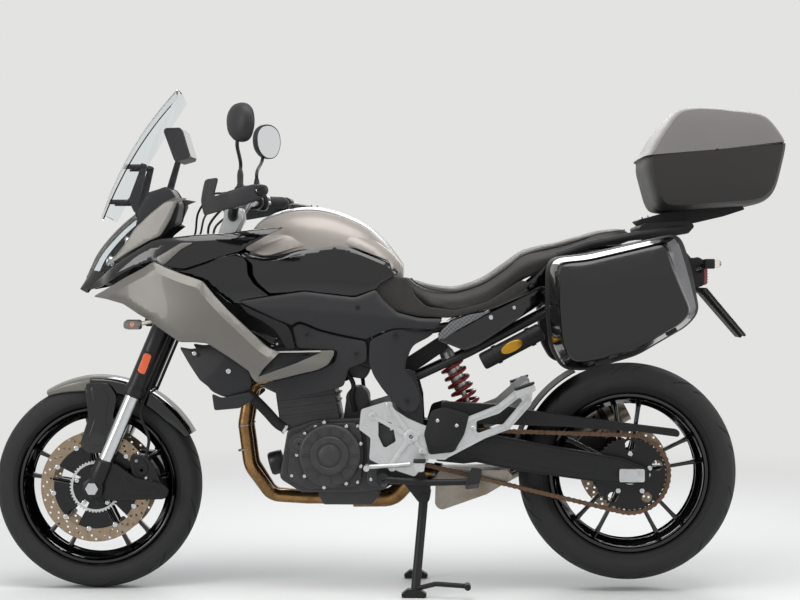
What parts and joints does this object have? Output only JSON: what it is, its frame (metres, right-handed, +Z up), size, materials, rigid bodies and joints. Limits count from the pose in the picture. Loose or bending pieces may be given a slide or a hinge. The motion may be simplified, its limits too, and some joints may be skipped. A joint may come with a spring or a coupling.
{
  "type": "adventure motorcycle",
  "caption": "Tall touring motorcycle on its centre stand, with wide handlebar, screen, twin-spar frame, two side cases and a top case.",
  "frame": {"origin": "on the floor under the middle of the machine's length and width", "axes": "+Z up, -X to the front of the machine, -Y to its left side"},
  "size_m": [2.2754, 0.9128, 1.453],
  "materials": {
    "tyre": "matt charcoal rubber",
    "gloss_black": "gloss black",
    "disc_steel": "beige bronze heat-tinted steel",
    "steel": "satin",
    "black_metal": "satin black",
    "chain_steel": "oiled brown steel",
    "cast_silver": "cast, satin",
    "engine_grey": "matt dark grey",
    "bronze_steel": "bronze heat tint",
    "raw_steel": "raw satin",
    "spring_red": "gloss red",
    "silver_paint": "gloss silver grey",
    "warm_grey": "gloss warm grey",
    "matt_grey": "matt dark grey",
    "rubber": "matt black",
    "seat_vinyl": "matt black-brown vinyl",
    "lamp_clear": "clear",
    "lamp_red": "gloss red"
  },
  "bodies": {
    "chassis": {"main_frame": "black_metal", "subframe": "black_metal", "front_stay": "black_metal", "engine_block": "engine_grey", "engine_covers": "engine_grey", "exhaust_headers": "bronze_steel", "silencer": "raw_steel", "radiator": "engine_grey", "radiator_shrouds": "matt_grey", "fuel_tank": "silver_paint", "tank_sides": "warm_grey", "wing_fairings": "warm_grey", "upper_fairing": "gloss_black", "headlight": "lamp_clear", "windscreen": "lamp_clear", "cockpit": "matt_grey", "side_covers": "matt_grey", "seat": "seat_vinyl", "tail_panels": "matt_grey", "rear_rack": "matt_grey", "swingarm": "black_metal", "rear_axle": "steel", "rear_caliper": "black_metal", "rear_hugger": "matt_grey", "chain": "chain_steel", "shock_absorber": "cast_silver", "shock_spring": "spring_red", "rider_footrests": "cast_silver", "passenger_footrests": "cast_silver", "tail_light": "lamp_red", "plate_holder": "matt_grey", "turn_signals": "lamp_clear", "top_case_base": "matt_grey", "left_case_base": "matt_grey", "right_case_base": "matt_grey"},
    "steering": {"fork_stanchions": "steel", "fork_tubes": "black_metal", "fork_clamps": "cast_silver", "front_axle": "steel", "front_calipers": "black_metal", "front_mudguard": "matt_grey", "handlebar": "black_metal", "hand_controls": "rubber", "hand_guards": "matt_grey", "mirrors": "matt_grey", "brake_hoses": "rubber"},
    "front_wheel": {"front_tyre": "tyre", "front_rim": "gloss_black", "front_discs": "disc_steel"},
    "rear_wheel": {"rear_tyre": "tyre", "rear_rim": "gloss_black", "rear_disc": "disc_steel", "rear_sprocket": "black_metal"},
    "centre_stand": {"centre_stand": "black_metal"},
    "side_stand": {"side_stand": "black_metal"},
    "top_case_lid": {"top_case_lid": "silver_paint"},
    "left_case_lid": {"left_case_lid": "gloss_black"},
    "right_case_lid": {"right_case_lid": "gloss_black"}
  },
  "joints": [
    {"name": "steering", "type": "hinge", "parent": "chassis", "child": "steering", "pos_m": [-0.81039, 0, 0.28828], "axis": [0.3907, 0, 0.9205], "range_deg": [-32, 32]},
    {"name": "front_wheel_spin", "type": "hinge", "parent": "steering", "child": "front_wheel", "pos_m": [-0.838, 0, 0.3], "axis": [0, 1, 0], "continuous": true},
    {"name": "rear_wheel_spin", "type": "hinge", "parent": "chassis", "child": "rear_wheel", "pos_m": [0.702, 0, 0.343], "axis": [0, 1, 0], "continuous": true},
    {"name": "centre_stand_fold", "type": "hinge", "parent": "chassis", "child": "centre_stand", "pos_m": [0.113, 0, 0.284], "axis": [0, -1, 0], "range_deg": [0, 76]},
    {"name": "side_stand_fold", "type": "hinge", "parent": "chassis", "child": "side_stand", "pos_m": [-0.002, -0.184, 0.334], "axis": [0, 0.9397, -0.342], "range_deg": [0, 105]},
    {"name": "top_case_lid_hinge", "type": "hinge", "parent": "chassis", "child": "top_case_lid", "pos_m": [0.72782, 0, 1.24655], "axis": [0, -1, 0], "range_deg": [0, 75]},
    {"name": "left_case_lid_hinge", "type": "hinge", "parent": "chassis", "child": "left_case_lid", "pos_m": [0.63393, -0.338, 0.66227], "axis": [0.9578, 0, 0.2873], "range_deg": [0, 80]},
    {"name": "right_case_lid_hinge", "type": "hinge", "parent": "chassis", "child": "right_case_lid", "pos_m": [0.63393, 0.338, 0.66227], "axis": [-0.9578, 0, -0.2873], "range_deg": [0, 80]}
  ]
}
